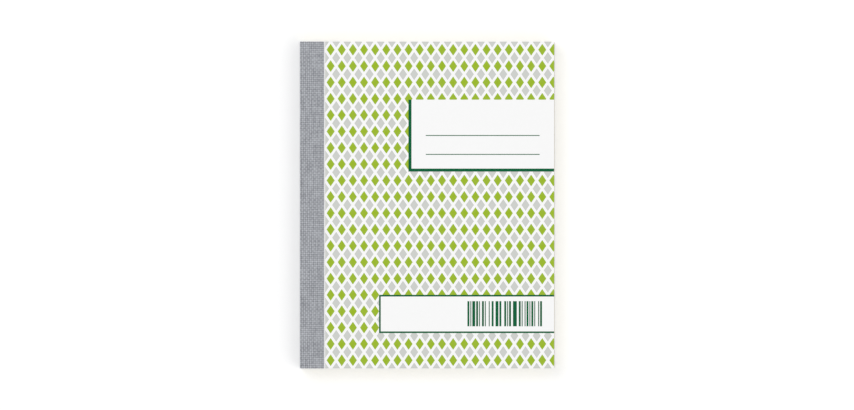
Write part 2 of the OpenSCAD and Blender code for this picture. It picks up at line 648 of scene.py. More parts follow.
@dataclass(frozen=True)
class FormPrint:
    """Ruled order form on carbonless paper, sizes of the form in millimetres.

    Attributes:
        left: Left side of the form, from the spine.
        right: Right side of the form.
        stamp: Left, right, top and bottom of the box for a stamp.
        address: The same for the address box.
        address_rules: Lines in the address box, down from the head.
        address_inset: Distance of their ends from the box.
        table_rows: Top and bottom of the table.
        head_rows: Height of the table's tinted heading.
        row: Distance from line to line in the table.
        columns: Places of the upright lines in the table.
        total_bottom: Bottom of the box for the total.
        sign_row: Place of the signature line.
        rule: Thickness of a main rule.
        hairline: Thickness of a line in the table.
        ink: Ink of the rules.
        ink_cover: How much of the paper a rule covers.
        tint_cover: How much of the paper a tinted cell covers.
        white: Colour of a top sheet.
        canary: Colour of a copy.
        shade: Share of its red, green and blue that paper keeps where it is darkest.
        edge_shade: The same in the fine lines of a cut edge, painted shade between the sheets.
        fibre: Grain of the paper.
        cloud: Cloudiness of the paper.
        tone: How far grain and cloudiness darken it.
        relief: Depth of the grain.
        rough: Roughness without the grain.
        rough_gain: What the grain adds to it.
        lines: Lines of painted shade between the sheets along a cut edge, from a bundle of sheets down to
            single ones.
        line_run: Height of such a line as a share of its length.
        line_most: Limit of its depth of colour.
    """

    left: float = 19.0
    right: float = 100.0
    stamp: tuple[float, float, float, float] = (19.0, 56.0, 12.0, 30.0)
    address: tuple[float, float, float, float] = (60.0, 100.0, 12.0, 30.0)
    address_rules: tuple[float, ...] = (18.0, 24.0)
    address_inset: float = 2.0
    table_rows: tuple[float, float] = (35.0, 113.0)
    head_rows: float = 6.0
    row: float = 6.0
    columns: tuple[float, ...] = (31.0, 70.0, 84.0)
    total_bottom: float = 120.5
    sign_row: float = 126.0
    rule: float = 0.35
    hairline: float = 0.18
    ink: Colour = srgb(60, 122, 88)
    ink_cover: float = 0.85
    tint_cover: float = 0.22
    white: Colour = srgb(249, 249, 246)
    canary: Colour = srgb(255, 243, 196)
    shade: Colour = (0.8, 0.79, 0.76, 1.0)
    edge_shade: Colour = (0.5, 0.49, 0.48, 1.0)
    fibre: Grain = Grain(0.5 * MM, layers=4.0)
    cloud: Grain = Grain(7.0 * MM)
    tone: float = 0.16
    relief: float = 0.0024 * MM
    rough: float = 0.68
    rough_gain: float = 0.2
    lines: Grain = Grain(0.9 * MM, layers=4.0, gain=4.0, base=-2.05)
    line_run: float = 0.0005
    line_most: float = 0.7

    def ruling(self, plane: PrintPlane) -> tuple[Socket, Socket]:
        """Draws the form.

        Args:
            plane: The printed face.

        Returns:
            Masks of the rules and of the tinted cells.
        """
        graph = plane.graph
        top, bottom = self.table_rows
        total = (self.columns[-1], self.right)
        half = self.hairline / 2
        rules = [
            plane.outline(*self.stamp, self.rule),
            plane.outline(*self.address, self.rule),
            plane.outline(self.left, self.right, top, bottom, self.rule),
            plane.outline(*total, bottom - self.rule, self.total_bottom, self.rule),
            plane.line_across(self.left, self.stamp[1], self.sign_row, self.hairline),
        ]
        ends = (self.address[0] + self.address_inset, self.address[1] - self.address_inset)
        rules += [plane.line_across(*ends, down, self.hairline) for down in self.address_rules]
        rules += [plane.rect(line - half, line + half, top, bottom) for line in self.columns]
        near = graph.math("PINGPONG", graph.math("SUBTRACT", plane.down, top), self.row / 2)
        lines = graph.math("LESS_THAN", near, half)
        rules.append(graph.math("MULTIPLY", lines, plane.rect(self.left, self.right, top, bottom)))
        heading = plane.rect(self.left, self.right, top, top + self.head_rows)
        tinted = graph.any_of((heading, plane.rect(*total, bottom, self.total_bottom)))
        return graph.any_of(rules), tinted

    def gap_shade_lines(self, plane: PrintPlane) -> Socket:
        """Gives the fine level lines of many cut edges, painted shade between the sheets.

        Args:
            plane: The printed face.

        Returns:
            Their depth of colour, zero on the faces of the sheets.
        """
        graph = plane.graph
        flat = graph.scaled(plane.place, (self.line_run, self.line_run, 1.0))
        lines = graph.clamp(self.lines.value(graph, flat), self.line_most)
        return graph.math("MULTIPLY", plane.cut_edge, lines)

    def material(self, kind: SheetKind, sizes: BookSizes) -> bpy.types.Material:
        """Builds the paper of a top sheet or a copy.

        Args:
            kind: Which sheet of a set.
            sizes: Places of the book's pieces.

        Returns:
            The material.
        """
        graph = Graph.material(kind.value)
        plane = PrintPlane(graph, sizes)
        paper = self.white if kind is SheetKind.TOP else self.canary
        # dark is the paper's own cloudy tone; edge is the painted shade in the lines between the sheets of
        # a cut edge
        dark, edge = (tuple(a * b for a, b in zip(paper, share)) for share in (self.shade, self.edge_shade))
        fibre = self.fibre.value(graph, plane.place)
        cloudy = graph.math("ADD", fibre, self.cloud.value(graph, plane.place))
        colour = graph.mix(graph.math("MULTIPLY", cloudy, self.tone), paper, dark)
        rules, tinted = self.ruling(plane)
        printed = graph.mix(graph.math("MULTIPLY", tinted, self.tint_cover), colour, self.ink)
        printed = graph.mix(graph.math("MULTIPLY", rules, self.ink_cover), printed, self.ink)
        colour = graph.mix(plane.upper_face, colour, printed)
        return graph.surface(
            Base_Color=graph.mix(self.gap_shade_lines(plane), colour, edge),
            Roughness=graph.level(fibre, self.rough_gain, self.rough),
            Normal=graph.bump(fibre, self.relief),
        )


@dataclass(frozen=True)
class ClothTapeFinish:
    """Grey linen-look cloth of the spine tape, with painted light on its raised threads and painted shade
    between them.

    Attributes:
        thread: Distance from thread to thread in metres.
        slub: Length of a thick stretch of thread in metres.
        slub_w: Width of such a stretch as a share of a thread.
        slub_height: How far it stands up.
        slub_light: How much lighter it is, painted light where it stands up.
        raised_light: How much lighter a raised thread is, painted light.
        warp_tone: How much lighter the threads along the tape are than those round it.
        mean_tone: Tone of the whole tape, zero for the painted shade between the threads and one for the
            lit cloth.
        cloth: Colour of the raised threads, with painted light on them.
        shaded_valley: Colour between the threads, painted shade.
        relief: Depth of the weave.
        rough: Roughness between the threads.
        rough_gain: What a raised thread adds to it.
        sheen: Weight of the cloth's sheen.
        uv_name: The map that runs round and along the tape, in metres.
    """

    thread: float = 0.85 * MM
    slub: float = 9.0 * MM
    slub_w: float = 0.7
    slub_height: float = 1.4
    slub_light: float = 1.15
    raised_light: float = 1.0
    warp_tone: float = 0.22
    mean_tone: float = 0.5
    cloth: Colour = srgb(186, 189, 195)
    shaded_valley: Colour = srgb(117, 119, 125)
    relief: float = 0.03 * MM
    rough: float = 0.78
    rough_gain: float = -0.12
    sheen: float = 0.15
    uv_name: str = "cloth"

    def weave(self, graph: Graph, place: Socket) -> tuple[Socket, Socket]:
        """Gives a plain weave.

        Args:
            graph: The material's tree.
            place: Metres round and along the tape.

        Returns:
            Its height, 0 to 1, and one where a thread along the tape is on top, else zero.
        """
        spot = graph.split(graph.scaled(place, (1 / self.thread, 1 / self.thread, 1.0)))
        rounded, cells = [], []
        for axis in ("X", "Y"):
            wave = graph.math("SINE", graph.math("MULTIPLY", spot[axis], math.pi))
            rounded.append(graph.math("ABSOLUTE", wave))
            cells.append(graph.math("FLOOR", spot[axis]))
        over = graph.math("FLOORED_MODULO", graph.math("ADD", *cells), 2.0)
        under = graph.math("SUBTRACT", 1.0, over)
        height = graph.math("MULTIPLY_ADD", rounded[1], under, graph.math("MULTIPLY", rounded[0], over))
        return height, over

    def slubs(self, graph: Graph, place: Socket) -> Socket:
        """Gives the thick stretches of both threads, about zero.

        Args:
            graph: The material's tree.
            place: Metres round and along the tape.

        Returns:
            The value.
        """
        grain = Grain(self.slub_w * self.thread, base=-NOISE_MEAN)
        run = self.thread / self.slub
        stretched = (graph.scaled(place, scale) for scale in ((1.0, run, 1.0), (run, 1.0, 1.0)))
        return graph.math("ADD", *(grain.value(graph, each) for each in stretched))

    def material(self) -> bpy.types.Material:
        """Builds the cloth, with painted light on its raised threads and slubs and painted shade between
        them.

        Returns:
            The material.
        """
        graph = Graph.material("cloth_tape")
        place = graph.node("ShaderNodeUVMap", uv_map=self.uv_name).outputs[0]
        weave, warp = self.weave(graph, place)
        slubs = self.slubs(graph, place)
        # Painted light and shade: raised threads and slubs go towards the lit cloth colour, the hollows
        # towards the painted shade between threads; the lighter threads along the tape are a two-tone weave
        # The weave's mean height is 2 / pi, and half of the threads on top run along the tape
        raised = self.raised_light * 2 / math.pi + self.warp_tone / 2
        tone = graph.level(slubs, self.slub_light, self.mean_tone - raised)
        tone = graph.math("MULTIPLY_ADD", weave, self.raised_light, tone)
        tone = graph.math("MULTIPLY_ADD", warp, self.warp_tone, tone)
        return graph.surface(
            Base_Color=graph.mix(graph.clamp(tone), self.shaded_valley, self.cloth),
            Roughness=graph.level(weave, self.rough_gain, self.rough),
            Normal=graph.bump(graph.math("MULTIPLY_ADD", slubs, self.slub_height, weave), self.relief),
            Sheen_Weight=self.sheen,
        )


@dataclass(frozen=True)
class CardFinish:
    """Uncoated pale card of the back cover, the shield and the scored crease.

    Attributes:
        name: Name of the material.
        card: Its colour.
        fleck: Colour of the fibres in it.
        cloud: Cloudiness of the card.
        fibre: Grain of the card.
        fibre_run: Width of a fibre as a share of its length.
        flecks: Gain and base that turn the grain into flecks.
        fleck_most: Limit of a fleck's depth of colour.
        relief: Depth of the grain.
        rough: Roughness without the grain.
        rough_gain: What the grain adds to it.
    """

    name: str = "plain_card"
    card: Colour = srgb(233, 231, 223)
    fleck: Colour = srgb(190, 186, 174)
    cloud: Grain = Grain(9.0 * MM, gain=0.12)
    fibre: Grain = Grain(0.35 * MM, layers=4.0)
    fibre_run: float = 0.3
    flecks: tuple[float, float] = (3.5, -1.96)
    fleck_most: float = 0.7
    relief: float = 0.005 * MM
    rough: float = 0.7
    rough_gain: float = 0.2

    def material(self) -> bpy.types.Material:
        """Builds the card.

        Returns:
            The material.
        """
        graph = Graph.material(self.name)
        place = graph.place()
        fibre = self.fibre.value(graph, graph.scaled(place, (1.0, self.fibre_run, 1.0)))
        flecks = graph.clamp(graph.level(fibre, *self.flecks), self.fleck_most)
        colour = graph.mix(self.cloud.value(graph, place), self.card, self.fleck)
        return graph.surface(
            Base_Color=graph.mix(flecks, colour, self.fleck),
            Roughness=graph.level(fibre, self.rough_gain, self.rough),
            Normal=graph.bump(fibre, self.relief),
        )


@dataclass(frozen=True)
class WireFinish:
    """Galvanised wire of the staples.

    Attributes:
        steel: Bright zinc.
        dull: Dull zinc.
        drawn: Streaks from drawing the wire.
        drawn_run: Width of a streak as a share of its length.
        rough: Roughness of the bright streaks.
        rough_gain: What a dull streak adds to it.
    """

    steel: Colour = srgb(186, 188, 192)
    dull: Colour = srgb(132, 134, 140)
    drawn: Grain = Grain(0.1 * MM, layers=3.0)
    drawn_run: float = 0.1
    rough: float = 0.2
    rough_gain: float = 0.3

    def material(self) -> bpy.types.Material:
        """Builds the wire.

        Returns:
            The material.
        """
        graph = Graph.material("staple_wire")
        drawn = self.drawn.value(graph, graph.scaled(graph.place(), (1.0, self.drawn_run, 1.0)))
        return graph.surface(
            Base_Color=graph.mix(drawn, self.steel, self.dull),
            Roughness=graph.level(drawn, self.rough_gain, self.rough),
            Metallic=1.0,
        )


@dataclass(frozen=True)
class PatchyFinish:
    """Ink or shade in two tones that run into each other.

    Attributes:
        name: Name of the material.
        first: One tone.
        second: The other tone.
        patches: Where the second tone is.
        rough: Roughness.
    """

    name: str
    first: Colour
    second: Colour
    patches: Grain
    rough: float

    def material(self) -> bpy.types.Material:
        """Builds the finish.

        Returns:
            The material.
        """
        graph = Graph.material(self.name)
        patches = self.patches.value(graph, graph.place())
        return graph.surface(Base_Color=graph.mix(patches, self.first, self.second), Roughness=self.rough)


SCORED_CARD = CardFinish("scored_card", card=srgb(246, 245, 241), fleck=srgb(222, 220, 212))
NUMBER_INK = PatchyFinish(
    "number_ink",
    first=srgb(186, 44, 46),
    second=srgb(214, 110, 108),
    patches=Grain(0.3 * MM, layers=3.0),
    rough=0.7,
)
# Painted shade laid where the slits of a tear line are
TEAR_SHADE = PatchyFinish(
    "painted_slit_shade",
    first=srgb(150, 149, 142),
    second=srgb(196, 195, 188),
    patches=Grain(0.4 * MM),
    rough=0.9,
)


class BarRow:
    """Geometry Nodes tree that repeats a bar along a straight row."""

    # Points along a bar that does not bend
    STRAIGHT = 2
    INPUTS = {
        "Size": "NodeSocketVector",
        "Segments": "NodeSocketInt",
        "Count": "NodeSocketInt",
        "Start": "NodeSocketVector",
        "Step": "NodeSocketVector",
        "Material": "NodeSocketMaterial",
    }

    def __init__(self) -> None:
        """Builds the tree once; make() uses it."""
        self.tree = bpy.data.node_groups.new("bar_row", "GeometryNodeTree")
        sockets = self.tree.interface
        sockets.new_socket(name="Geometry", in_out="OUTPUT", socket_type="NodeSocketGeometry")
        self.identifiers = {
            name: sockets.new_socket(name=name, in_out="INPUT", socket_type=kind).identifier
            for name, kind in self.INPUTS.items()
        }
        nodes, links = self.tree.nodes, self.tree.links
        given = nodes.new("NodeGroupInput").outputs
        bar = nodes.new("GeometryNodeMeshCube")
        row = nodes.new("GeometryNodeMeshLine")
        placed = nodes.new("GeometryNodeInstanceOnPoints")
        real = nodes.new("GeometryNodeRealizeInstances")
        dressed = nodes.new("GeometryNodeSetMaterial")
        output = nodes.new("NodeGroupOutput")
        links.new(given["Size"], bar.inputs["Size"])
        links.new(given["Segments"], bar.inputs["Vertices X"])
        links.new(given["Count"], row.inputs["Count"])
        links.new(given["Start"], row.inputs["Start Location"])
        links.new(given["Step"], row.inputs["Offset"])
        links.new(row.outputs[0], placed.inputs["Points"])
        links.new(bar.outputs["Mesh"], placed.inputs["Instance"])
        links.new(placed.outputs[0], real.inputs[0])
        links.new(real.outputs[0], dressed.inputs["Geometry"])
        links.new(given["Material"], dressed.inputs["Material"])
        links.new(dressed.outputs[0], output.inputs[0])

    def make(self, name: str, **inputs: object) -> bpy.types.Object:
        """Makes a row of bars as a plain mesh.

        Args:
            name: Name of the piece.
            **inputs: The tree's inputs by name.

        Returns:
            The piece, at the origin.
        """
        rough = new_piece(f"{name}_row", bpy.data.meshes.new(f"{name}_row"))
        modifier = rough.modifiers.new("bar_row", "NODES")
        modifier.node_group = self.tree
        for key, value in inputs.items():
            modifier[self.identifiers[key]] = value
        return new_piece(name, plain_mesh(rough))


def new_piece(name: str, data: bpy.types.ID) -> bpy.types.Object:
    """Puts something new into the scene.

    Args:
        name: Its name.
        data: Its mesh, line of type, lamp or camera.

    Returns:
        The object, at the origin.
    """
    piece = bpy.data.objects.new(name, data)
    bpy.context.scene.collection.objects.link(piece)
    return piece


def plain_mesh(rough: bpy.types.Object) -> bpy.types.Mesh:
    """Turns an object with modifiers or type into a plain mesh, and removes the object.

    Args:
        rough: The object.

    Returns:
        Its mesh as it is shown.
    """
    depsgraph = bpy.context.evaluated_depsgraph_get()
    mesh = bpy.data.meshes.new_from_object(rough.evaluated_get(depsgraph))
    bpy.data.objects.remove(rough)
    return mesh


def mesh_data(name: str, built: bmesh.types.BMesh, material: bpy.types.Material) -> bpy.types.Mesh:
    """Turns a built mesh into mesh data with a material.

    Args:
        name: Name of the data.
        built: The mesh, which is freed.
        material: Its finish.

    Returns:
        The data.
    """
    data = bpy.data.meshes.new(name)
    built.to_mesh(data)
    built.free()
    data.materials.append(material)
    return data


def dress(node: str, material: bpy.types.Material) -> None:
    """Gives a CAD node its material.

    Args:
        node: Name of the node.
        material: Its finish.
    """
    slots = bpy.data.objects[node].data.materials
    slots.clear()
    slots.append(material)
    LOG.info("%s: %s", node, material.name)


@dataclass(frozen=True)
class Finishes:
    """Materials of the whole book.

    Attributes:
        cover: Printed card.
        sheets: Paper of each kind of sheet, with the form.
        tape: Cloth of the spine tape.
        card: Plain card.
        score: White card of the front cover's score.
        wire: Wire of the staples.
        number: Ink of the set numbers.
        slit: Painted shade in the slits of a tear line.
    """

    cover: bpy.types.Material
    sheets: dict[SheetKind, bpy.types.Material]
    tape: bpy.types.Material
    card: bpy.types.Material
    score: bpy.types.Material
    wire: bpy.types.Material
    number: bpy.types.Material
    slit: bpy.types.Material

    @classmethod
    def build(cls, sizes: BookSizes) -> "Finishes":
        """Builds every material once.

        Args:
            sizes: Places of the book's pieces.

        Returns:
            The finishes.
        """
        return cls(
            cover=CoverPrint().material(sizes),
            sheets={kind: FormPrint().material(kind, sizes) for kind in SheetKind},
            tape=ClothTapeFinish().material(),
            card=CardFinish().material(),
            score=SCORED_CARD.material(),
            wire=WireFinish().material(),
            number=NUMBER_INK.material(),
            slit=TEAR_SHADE.material(),
        )


@dataclass
class Crease:
    """Paper or card along the crease, between a turning leaf and what it turns on.

    Attributes:
        bars: The tree that repeats its layers.
        sizes: Places of the book's pieces.
        reach: How far it goes into the leaf and into the bound edge.
        share: Its thickness as a share of the layer's, so that it stays inside at rest.
        inset: How far it stays back from the head and the tail.
        segments: Points along it.
    """

    bars: BarRow
    sizes: BookSizes
    reach: float = 0.1 * MM
    share: float = 0.8
    inset: float = 0.03 * MM
    segments: int = 33

    def layers(
        self,
        name: str,
        node: str,
        layer_t: float,
        pitch: float,
        slot: str,
        material: bpy.types.Material,
        bodies: tuple[str, str],
        line_x: float,
        towards: float = 1.0,
    ) -> bpy.types.Object:
        """Makes the layers of one node.

        Args:
            name: Name of the piece.
            node: CAD node whose layers it continues.
            layer_t: Thickness of one layer.
            pitch: Distance from layer to layer.
            slot: Material slot of the record, not used.
            material: Its finish.
            bodies: Body before the crease and body after it.
            line_x: Place of the crease.
            towards: One if the second body lies to the right of the crease, else minus one; not used.

        Returns:
            The piece.
        """
        low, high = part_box(node)
        count = 1 + round((high[2] - low[2] - layer_t) / pitch)
        middle_y = self.sizes.middle_y
        piece = self.bars.make(
            name,
            Size=(2 * self.reach, self.sizes.height - 2 * self.inset, layer_t * self.share),
            Segments=self.segments,
            Count=count,
            Start=(line_x, middle_y, high[2] - layer_t / 2),
            Step=(0.0, 0.0, -pitch),
            Material=material,
        )
        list(bodies)
        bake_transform(piece)
        LOG.info("%s: %d layers between %s and %s", name, count, *bodies)
        return piece


@dataclass
class Binding:
    """What holds the book: cloth tape, staples, bound edges and back cover.

    Attributes:
        sizes: Places of the book's pieces.
        finishes: Materials of the book.
        corner_r: Outer radius of the tape round the spine's edges.
        leg_steps: Faces across each leg of the tape.
        corner_steps: Faces round each corner.
        spine_steps: Faces down the spine.
        long_steps: Faces from tail to head.
        staple_rise: How far a staple shows through the tape.
        staple_blur: Half-width of that ridge.
        clinch: Length of a bent-over staple leg.
        uneven: Height of the tape's unevenness.
        uneven_size: Size of its patches.
        fray: How far the thread ends waver at the tape's edges.
        fray_size: Length of such a waver.
        sharp_deg: Angle past which an edge of the tape is shaded sharp.
    """

    sizes: BookSizes
    finishes: Finishes
    corner_r: float = 0.55 * MM
    leg_steps: int = 40
    corner_steps: int = 8
    spine_steps: int = 16
    long_steps: int = 200
    staple_rise: float = 0.06 * MM
    staple_blur: float = 0.45 * MM
    clinch: float = 4.0 * MM
    uneven: float = 0.025 * MM
    uneven_size: float = 7.0 * MM
    fray: float = 0.06 * MM
    fray_size: float = 0.8 * MM
    sharp_deg: float = 50.0

    def profile(self) -> list[tuple[Vector, Vector]]:
        """Goes round the tape's outside, from the front cover to the back cover.

        Returns:
            Points and outward directions, both in the XZ plane.
        """
        low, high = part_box("spine_tape")
        left, right, radius = low[0], high[0], self.corner_r
        inner, upper, lower = left + radius, high[2] - radius, low[2] + radius
        up, out, down = Vector((0, 0, 1)), Vector((-1, 0, 0)), Vector((0, 0, -1))
        points: list[tuple[Vector, Vector]] = []

        def straight(first: Sequence[float], last: Sequence[float], facing: Vector, steps: int) -> None:
            """Adds a straight stretch, without its last point."""
            ends = [Vector((x, 0, z)) for x, z in (first, last)]
            points.extend((ends[0].lerp(ends[1], i / steps), facing) for i in range(steps))

        def corner(centre: Sequence[float], first: Vector, last: Vector) -> None:
            """Adds a quarter turn, without its last point.

            Args:
                centre: X and Z of its middle.
                first: The way out where it starts.
                last: The way out where it ends.
            """
            for i in range(self.corner_steps):
                turn = i / self.corner_steps * math.pi / 2
                facing = first * math.cos(turn) + last * math.sin(turn)
                points.append((Vector((centre[0], 0, centre[1])) + facing * radius, facing))

        straight((right, high[2]), (inner, high[2]), up, self.leg_steps)
        corner((inner, upper), up, out)
        straight((left, upper), (left, lower), out, self.spine_steps)
        corner((inner, lower), out, down)
        straight((inner, low[2]), (right, low[2]), down, self.leg_steps)
        points.append((Vector((right, 0, low[2])), down))
        return points

    def ridge(self, place: Vector, facing: Vector, staples: list[tuple[Vector, Vector]]) -> float:
        """Gives how far the staples lift the tape at a place.

        Args:
            place: A point of the tape.
            facing: The way out of the tape there.
            staples: Lowest and highest corner of each staple.

        Returns:
            The lift in metres.
        """
        lift = 0.0
        for low, high in staples:
            off_line = (place[0] - (low[0] + high[0]) / 2) / self.staple_blur
            inside = min(place[1] - low[1], high[1] - place[1])
            wire = inside > 0 if facing[2] > LEVEL else 0 < inside < self.clinch
            if abs(facing[2]) > LEVEL and wire:
                ends = min(1.0, inside / self.staple_blur)
                lift += self.staple_rise * ends * math.exp(-off_line * off_line)
        return lift

    def cloth_sheet(self, profile: list[tuple[Vector, Vector]], lengths: list[float]) -> bpy.types.Mesh:
        """Makes the tape's outer face.

        Args:
            profile: Points and outward directions round the spine.
            lengths: Way along the profile to each point.

        Returns:
            The mesh, with the map that the cloth's finish reads.
        """
        mesh = bmesh.new()
        cloth = mesh.loops.layers.uv.new(ClothTapeFinish.uv_name)
        staples = [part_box(node) for node in ("upper_staple", "lower_staple")]
        rows = []
        for j in range(self.long_steps + 1):
            y = self.sizes.tail_y + self.sizes.height * j / self.long_steps
            row = []
            for i, (place, facing) in enumerate(profile):
                point = Vector((place[0], y, place[2]))
                rise = self.uneven * noise.noise(Vector((lengths[i], y, 0)) / self.uneven_size)
                point += facing * (rise + self.ridge(point, facing, staples))
                if i in (0, len(profile) - 1):
                    point[0] += self.fray * noise.noise(Vector((i, y / self.fray_size, 0)))
                row.append(mesh.verts.new(point))
            rows.append(row)
        for j in range(self.long_steps):
            for i in range(len(profile) - 1):
                corners = ((i, j), (i, j + 1), (i + 1, j + 1), (i + 1, j))
                face = mesh.faces.new([rows[b][a] for a, b in corners])
                face.smooth = True
                for loop, (a, b) in zip(face.loops, corners):
                    loop[cloth].uv = (lengths[a], rows[b][a].co[1])
        return mesh_data("cloth_sheet", mesh, self.finishes.tape)

    def tape(self) -> bpy.types.Object:
        """Makes the cloth tape as one shell round the spine.

        Returns:
            The piece.
        """
        profile = self.profile()
        lengths = [0.0]
        for (before, _), (place, _) in zip(profile, profile[1:]):
            lengths.append(lengths[-1] + (place - before).length)
        rough = new_piece("cloth_sheet", self.cloth_sheet(profile, lengths))
        shell = rough.modifiers.new("shell", "SOLIDIFY")
        shell.thickness = self.sizes.tape_t
        shell.offset = -1.0
        piece = new_piece("cloth_spine_tape", plain_mesh(rough))
        piece.data.set_sharp_from_angle(angle=math.radians(self.sharp_deg))
        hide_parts("spine_tape")
        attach(piece, "binding")
        LOG.info("cloth_spine_tape: %d faces", len(piece.data.polygons))
        return piece

    def build(self) -> None:
        """Makes the tape and dresses the rest."""
        self.tape()
        dress("upper_staple", self.finishes.wire)
        dress("lower_staple", self.finishes.wire)
        dress("front_cover_bound_edge", self.finishes.cover)
        dress("back_cover", self.finishes.card)
        dress("top_sheet_bound_edges", self.finishes.sheets[SheetKind.TOP])
        dress("copy_sheet_bound_edges", self.finishes.sheets[SheetKind.COPY])


@dataclass
class Numbering:
    """Set numbers, printed on each sheet at the head.

    Attributes:
        sizes: Places of the book's pieces.
        material: The ink.
        digit_h: Size of the type.
        spacing: Distance from digit to digit as a share of the type's own.
        right: Right end of a number, from the spine.
        base: Line that it stands on, from the head.
        film: Thickness of the ink on the paper.
        digits: How many digits a number has.
    """

    sizes: BookSizes
    material: bpy.types.Material
    digit_h: float = 4.6 * MM
    spacing: float = 1.12
    right: float = 100.0 * MM
    base: float = 9.2 * MM
    film: float = 0.002 * MM
    digits: int = 3

    def make(self, number: int, name: str, body: str, sheet_z: float) -> bpy.types.Object:
        """Prints one number.

        Args:
            number: The number.
            name: Name of the piece.
            body: Body of its sheet.
            sheet_z: Height of the sheet's upper face.

        Returns:
            The piece.
        """
        font = bpy.data.curves.new(name, "FONT")
        font.body = f"{number:0{self.digits}d}"
        font.size = self.digit_h
        font.align_x = "RIGHT"
        font.space_character = self.spacing
        font.extrude = self.film / 2
        font.materials.append(self.material)
        mesh = plain_mesh(new_piece(f"{name}_type", font))
        corner = (self.sizes.spine_x + self.right, self.sizes.head_y - self.base, sheet_z + self.film / 2)
        mesh.transform(Matrix.Translation(corner))
        piece = new_piece(name, mesh)
        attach(piece, body)
        LOG.info("%s: on %s", name, body)
        return piece


@dataclass
class SlitShadeRow:
    """Row of dark marks beside the crease of a perforated sheet, painted shade where its slits are.

    Attributes:
        bars: The tree that repeats a slit.
        sizes: Places of the book's pieces.
        material: Painted shade in the slits.
        from_crease: Distance of the row from the crease.
        slit_l: Length of a slit.
        slit_w: Width of a slit.
        pitch: Distance from slit to slit.
        film: How far the painted shade stands over the sheet.
    """

    bars: BarRow
    sizes: BookSizes
    material: bpy.types.Material
    from_crease: float = 2.5 * MM
    slit_l: float = 1.6 * MM
    slit_w: float = 0.12 * MM
    pitch: float = 2.5 * MM
    film: float = 0.002 * MM

    def make(self, name: str, body: str, sheet_z: float) -> bpy.types.Object:
        """Makes the row on one sheet.

        Args:
            name: Name of the piece.
            body: Body of its sheet.
            sheet_z: Height of the sheet's upper face.

        Returns:
            The piece.
        """
        count = math.floor((self.sizes.height - self.slit_l) / self.pitch)
        first_y = self.sizes.middle_y + (count - 1) * self.pitch / 2
        piece = self.bars.make(
            name,
            Size=(self.slit_w, self.slit_l, 2 * self.film),
            Segments=BarRow.STRAIGHT,
            Count=count,
            Start=(self.sizes.crease_x + self.from_crease, first_y, sheet_z),
            Step=(0.0, -self.pitch, 0.0),
            Material=self.material,
        )
        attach(piece, body)
        LOG.info("%s: %d slits", name, count)
        return piece


@dataclass
class Leaf:
    """Sheets that turn together, from one to a whole block.

    Attributes:
        body: Body that they turn with.
        turns_on: Body that their joint holds them to.
        nodes: CAD node of each kind of sheet.
        number: Set number on the uppermost sheet.
        slit_shade: True if the painted shade of the uppermost sheet's tear line is still to be made.
    """

    body: str
    turns_on: str
    nodes: dict[SheetKind, str]
    number: int
    slit_shade: bool = False

    def build(self, crease: Crease, finishes: Finishes, numbers: Numbering, slit_shades: SlitShadeRow) -> None:
        """Dresses the sheets and makes their crease, number and the painted shade of their tear line.

        Args:
            crease: Maker of creases.
            finishes: Materials of the book.
            numbers: Maker of the set numbers.
            slit_shades: Maker of the painted shade of tear lines.
        """
        sizes = crease.sizes
        for kind, node in self.nodes.items():
            dress(node, finishes.sheets[kind])
            crease.layers(
                f"{node}_crease",
                node,
                layer_t=sizes.paper_t,
                pitch=2 * sizes.sheet_pitch,
                slot=kind.value,
                material=finishes.sheets[kind],
                bodies=(self.turns_on, self.body),
                line_x=sizes.crease_x,
            )
        upper_z = max(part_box(node)[1][2] for node in self.nodes.values())
        numbers.make(self.number, f"{self.body}_number", self.body, upper_z)
        if self.slit_shade:
            slit_shades.make(f"{self.body}_slit_shade", self.body, upper_z)


@dataclass
class FrontCover:
    """Printed front cover and the score that it turns on.

    Attributes:
        finishes: Materials of the book.
        turns_on: Body that its joint holds it to.
    """

    finishes: Finishes
    turns_on: str = "set_1_top"

    def build(self, crease: Crease) -> None:
        """Dresses the cover and makes its crease.

        Args:
            crease: Maker of creases.
        """
        sizes = crease.sizes
        dress("front_cover", self.finishes.cover)
        crease.layers(
            "front_cover_crease",
            "front_cover",
            layer_t=sizes.card_t,
            pitch=sizes.card_t,
            slot="printed_card",
            material=self.finishes.score,
            bodies=(self.turns_on, "front_cover"),
            line_x=sizes.crease_x,
        )


@dataclass
class WritingShield:
    """Card flap on the back cover, with its fold and its second crease.

    Attributes:
        finishes: Materials of the book.
        clear: Air between the bead of the fold and the back cover.
        bead_steps: Faces round the bead.
    """

    finishes: Finishes
    clear: float = 0.05 * MM
    bead_steps: int = 10

    def bead(self, sizes: BookSizes) -> bpy.types.Object:
        """Makes the rounded card of the fold, over the strip's outer edge.

        Args:
            sizes: Places of the book's pieces.

        Returns:
            The piece.
        """
        low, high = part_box("shield_edge_strip")
        left, radius = sizes.fore_x + self.clear, sizes.fold_x - sizes.fore_x - self.clear
        outline = [(left, high[2])]
        for i in range(self.bead_steps + 1):
            turn = i / self.bead_steps * math.pi / 2
            outline.append((left + radius * math.cos(turn), high[2] + radius * math.sin(turn)))
        mesh = bmesh.new()
        ends = []
        for y in (low[1], high[1]):
            ends.append([mesh.verts.new((x, y, z)) for x, z in outline])
            mesh.faces.new(ends[-1])
        for i in range(len(outline)):
            after = (i + 1) % len(outline)
            mesh.faces.new([ends[0][i], ends[0][after], ends[1][after], ends[1][i]])
        bmesh.ops.recalc_face_normals(mesh, faces=mesh.faces[:])
        piece = new_piece("shield_fold", mesh_data("shield_fold", mesh, self.finishes.card))
        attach(piece, "shield_strip")
        LOG.info("shield_fold: radius %.2f mm", radius / MM)
        return piece

    def build(self, crease: Crease) -> None:
        """Dresses the shield and makes its fold and crease.

        Args:
            crease: Maker of creases.
        """
        sizes = crease.sizes
        dress("shield_edge_strip", self.finishes.card)
        dress("shield_flap", self.finishes.card)
        self.bead(sizes)
        crease.layers(
            "shield_crease",
            "shield_flap",
            layer_t=sizes.card_t,
            pitch=sizes.card_t,
            slot="plain_card",
            material=self.finishes.card,
            bodies=("shield_strip", "shield_flap"),
            line_x=sizes.wrap_x,
            towards=-1.0,
        )


